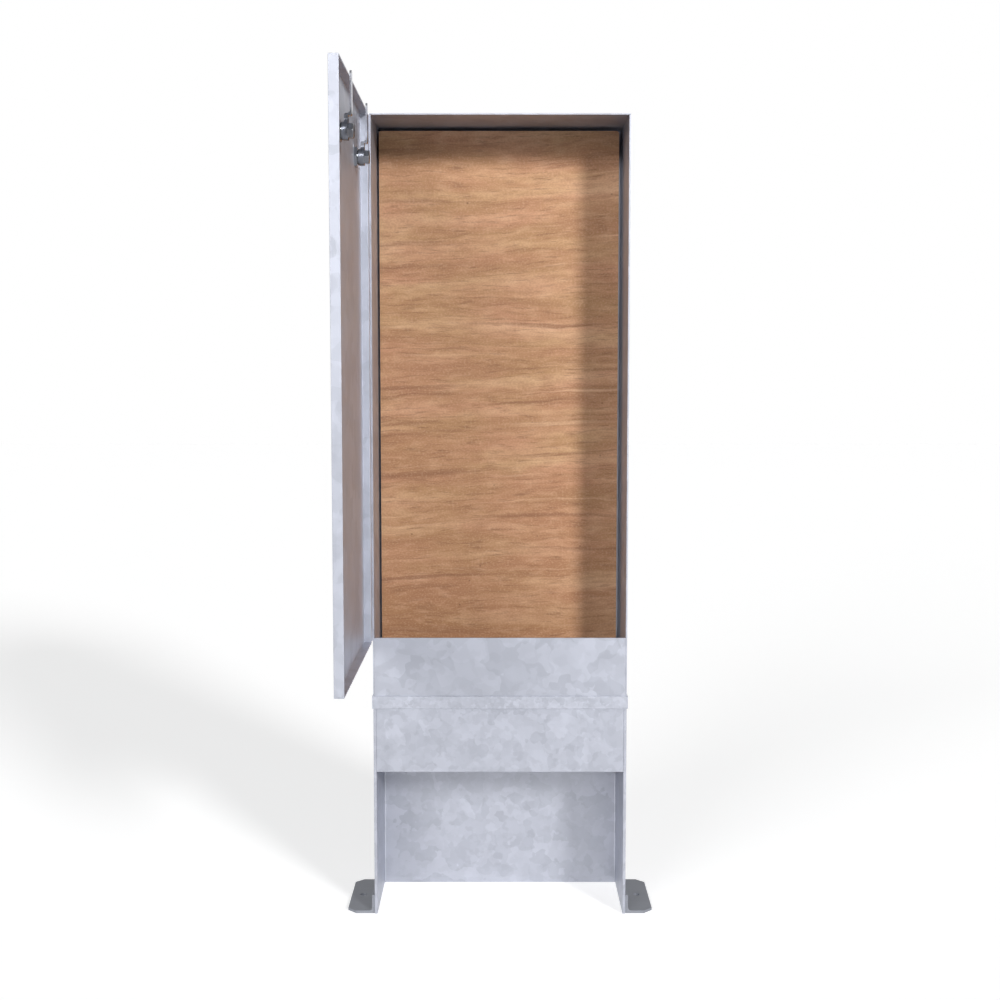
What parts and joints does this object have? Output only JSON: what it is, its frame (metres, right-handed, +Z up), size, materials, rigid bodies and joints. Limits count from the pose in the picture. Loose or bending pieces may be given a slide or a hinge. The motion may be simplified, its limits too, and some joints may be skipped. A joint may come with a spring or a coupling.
{
  "type": "feeder pillar",
  "caption": "Tall narrow galvanised feeder pillar: sheet cabinet with plywood board and side-hung lockable door on a plate root with bolt-down feet.",
  "frame": {"origin": "on the ground midway between the two foot holes", "axes": "+Z up, front towards -Y, +X to the right seen from the front"},
  "size_m": [0.427, 0.4903, 1.0988],
  "materials": {
    "galvanised_sheet": "satin galvanised with soft spangle",
    "galvanised_plate": "satin galvanised with soft spangle",
    "plywood": "bare plywood, horizontal grain",
    "lock_metal": "dull zinc die-cast",
    "fastener_steel": "zinc plated",
    "hinge_steel": "bright zinc plated"
  },
  "bodies": {
    "cabinet": {"cabinet_shell": "galvanised_sheet", "roof_panel": "galvanised_sheet", "front_fascia": "galvanised_sheet", "ground_band": "galvanised_plate", "root_frame": "galvanised_plate", "root_front_panel": "galvanised_plate", "left_foot": "galvanised_plate", "right_foot": "galvanised_plate", "backboard": "plywood", "upper_board_rail": "galvanised_sheet", "board_hanger": "galvanised_sheet", "hanger_screws": "fastener_steel", "lower_board_rail": "galvanised_sheet", "board_screws": "fastener_steel", "hinge_frame_leaf": "hinge_steel", "hinge_pin": "fastener_steel"},
    "door": {"door_tray": "galvanised_sheet", "hinge_door_leaf": "hinge_steel", "hinge_side_housing": "lock_metal", "hinge_side_nut": "lock_metal", "free_side_housing": "lock_metal", "free_side_nut": "lock_metal"},
    "hinge_side_lock": {"hinge_side_spindle": "lock_metal", "hinge_side_cam": "hinge_steel", "hinge_side_bolt": "lock_metal"},
    "free_side_lock": {"free_side_spindle": "lock_metal", "free_side_cam": "hinge_steel", "free_side_bolt": "lock_metal"}
  },
  "joints": [
    {"name": "door_hinge", "type": "hinge", "parent": "cabinet", "child": "door", "pos_m": [-0.1784, -0.0694, 0.7425], "axis": [0, 0, 1], "range_deg": [-90, 90]},
    {"name": "hinge_side_lock_turn", "type": "hinge", "parent": "door", "child": "hinge_side_lock", "pos_m": [-0.17, -0.1498, 1.028], "axis": [1, 0, 0], "range_deg": [-90, 0]},
    {"name": "free_side_lock_turn", "type": "hinge", "parent": "door", "child": "free_side_lock", "pos_m": [-0.17, -0.3458, 1.028], "axis": [1, 0, 0], "range_deg": [-90, 0]}
  ]
}
